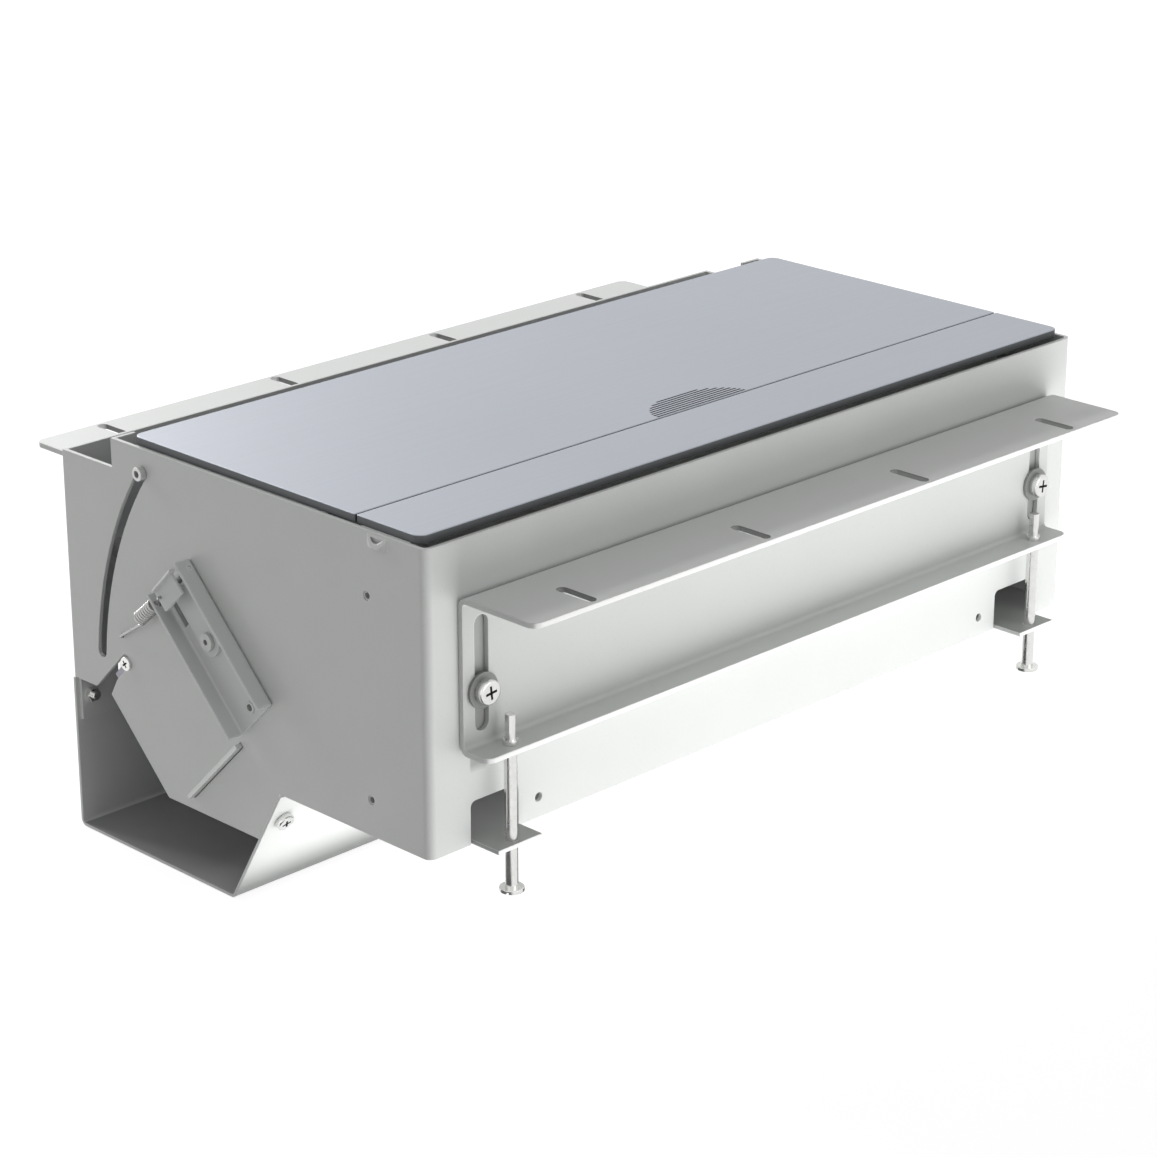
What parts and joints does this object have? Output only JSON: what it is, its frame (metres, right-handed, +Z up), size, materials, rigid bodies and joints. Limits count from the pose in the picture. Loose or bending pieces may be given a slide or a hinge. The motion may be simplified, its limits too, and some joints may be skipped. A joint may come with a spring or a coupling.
{
  "type": "conference table box",
  "caption": "Under-table cable box with a lid that swings back and down on arms, sloping socket carrier, cable tray and jacked clamping rails.",
  "frame": {"origin": "middle of the part in plan, at the level of the cable tray underside", "axes": "+X along the box, front wall towards -Y, +Z up"},
  "size_m": [0.4776, 0.3524, 0.216],
  "materials": {
    "coated_steel": "satin light grey powder coat",
    "tray_steel": "satin light grey powder coat",
    "coated_rail": "satin light grey powder coat",
    "bracket_steel": "satin grey coat",
    "anodised_plate": "fine matt anodised",
    "carrier_sheet": "brushed, anodised",
    "blank_plastic": "fine moulded texture",
    "spring_wire": "bright spring wire",
    "pin_steel": "bright zinc",
    "plated_steel": "bright zinc plate"
  },
  "bodies": {
    "housing": {"base_plate": "coated_steel", "cable_tray": "tray_steel", "carrier_screws": "plated_steel", "channel_rivets": "plated_steel", "front_lock_nuts": "plated_steel", "front_lock_screws": "plated_steel", "front_lock_washers": "plated_steel", "front_strip": "anodised_plate", "housing": "coated_steel", "latch_channel_left": "bracket_steel", "latch_channel_right": "bracket_steel", "latch_spring_left": "spring_wire", "latch_spring_right": "spring_wire", "lever_pivots": "plated_steel", "module_blank_1": "blank_plastic", "module_blank_2": "blank_plastic", "module_blank_3": "blank_plastic", "module_blank_4": "blank_plastic", "module_blank_5": "blank_plastic", "module_blank_6": "blank_plastic", "module_blank_7": "blank_plastic", "module_blank_8": "blank_plastic", "module_carrier": "carrier_sheet", "pivot_pins": "plated_steel", "rear_lock_nuts": "plated_steel", "rear_lock_screws": "plated_steel", "rear_lock_washers": "plated_steel", "rear_wall": "coated_steel", "strip_rivets": "plated_steel", "strip_support": "coated_steel", "tray_front_screws": "plated_steel", "tray_rear_screws": "plated_steel"},
    "lid": {"lid_panel": "anodised_plate", "arm_screws": "plated_steel", "swing_arm_left": "bracket_steel", "swing_arm_right": "bracket_steel", "guide_pin_left": "pin_steel", "guide_pin_right": "pin_steel"},
    "front_rail": {"front_rail": "coated_rail"},
    "rear_rail": {"rear_rail": "coated_rail"},
    "latch_left": {"latch_lever_left": "bracket_steel"},
    "latch_right": {"latch_lever_right": "bracket_steel"},
    "front_jack_screw_left": {"front_jack_screw_left": "plated_steel"},
    "front_jack_screw_right": {"front_jack_screw_right": "plated_steel"},
    "rear_jack_screw_left": {"rear_jack_screw_left": "plated_steel"},
    "rear_jack_screw_right": {"rear_jack_screw_right": "plated_steel"}
  },
  "joints": [
    {"name": "lid_swing", "type": "hinge", "parent": "housing", "child": "lid", "pos_m": [0, -0.08995, 0.0831], "axis": [-1, 0, 0], "range_deg": [0, 31.8]},
    {"name": "front_rail_height", "type": "slide", "parent": "housing", "child": "front_rail", "axis": [0, 0, 1], "range_m": [-0.031, 0.013]},
    {"name": "rear_rail_height", "type": "slide", "parent": "housing", "child": "rear_rail", "axis": [0, 0, 1], "range_m": [-0.031, 0.013]},
    {"name": "latch_swing_left", "type": "hinge", "parent": "housing", "child": "latch_left", "pos_m": [-0.2276, 0.01847, 0.13005], "axis": [1, 0, 0], "range_deg": [0, 8], "stiffness_Nm_per_rad": 0.7, "springref_deg": -11.46, "deforming": ["latch_spring_left"]},
    {"name": "latch_swing_right", "type": "hinge", "parent": "housing", "child": "latch_right", "pos_m": [0.2276, 0.01847, 0.13005], "axis": [1, 0, 0], "range_deg": [0, 8], "stiffness_Nm_per_rad": 0.7, "springref_deg": -11.46, "deforming": ["latch_spring_right"]},
    {"name": "front_jack_left_turn", "type": "hinge", "parent": "front_rail", "child": "front_jack_screw_left", "pos_m": [-0.1867, -0.13955, 0.1], "axis": [0, 0, 1], "range_deg": [-11161, 4681]},
    {"name": "front_jack_right_turn", "type": "hinge", "parent": "front_rail", "child": "front_jack_screw_right", "pos_m": [0.1867, -0.13955, 0.1], "axis": [0, 0, 1], "range_deg": [-11161, 4681]},
    {"name": "rear_jack_left_turn", "type": "hinge", "parent": "rear_rail", "child": "rear_jack_screw_left", "pos_m": [-0.1867, 0.13955, 0.1], "axis": [0, 0, 1], "range_deg": [-11161, 4681]},
    {"name": "rear_jack_right_turn", "type": "hinge", "parent": "rear_rail", "child": "rear_jack_screw_right", "pos_m": [0.1867, 0.13955, 0.1], "axis": [0, 0, 1], "range_deg": [-11161, 4681]}
  ],
  "couplings": [
    {"joint": "front_jack_left_turn", "follows": "front_rail_height", "rad_per_m": 6283.2},
    {"joint": "front_jack_right_turn", "follows": "front_rail_height", "rad_per_m": 6283.2},
    {"joint": "rear_jack_left_turn", "follows": "rear_rail_height", "rad_per_m": 6283.2},
    {"joint": "rear_jack_right_turn", "follows": "rear_rail_height", "rad_per_m": 6283.2}
  ]
}
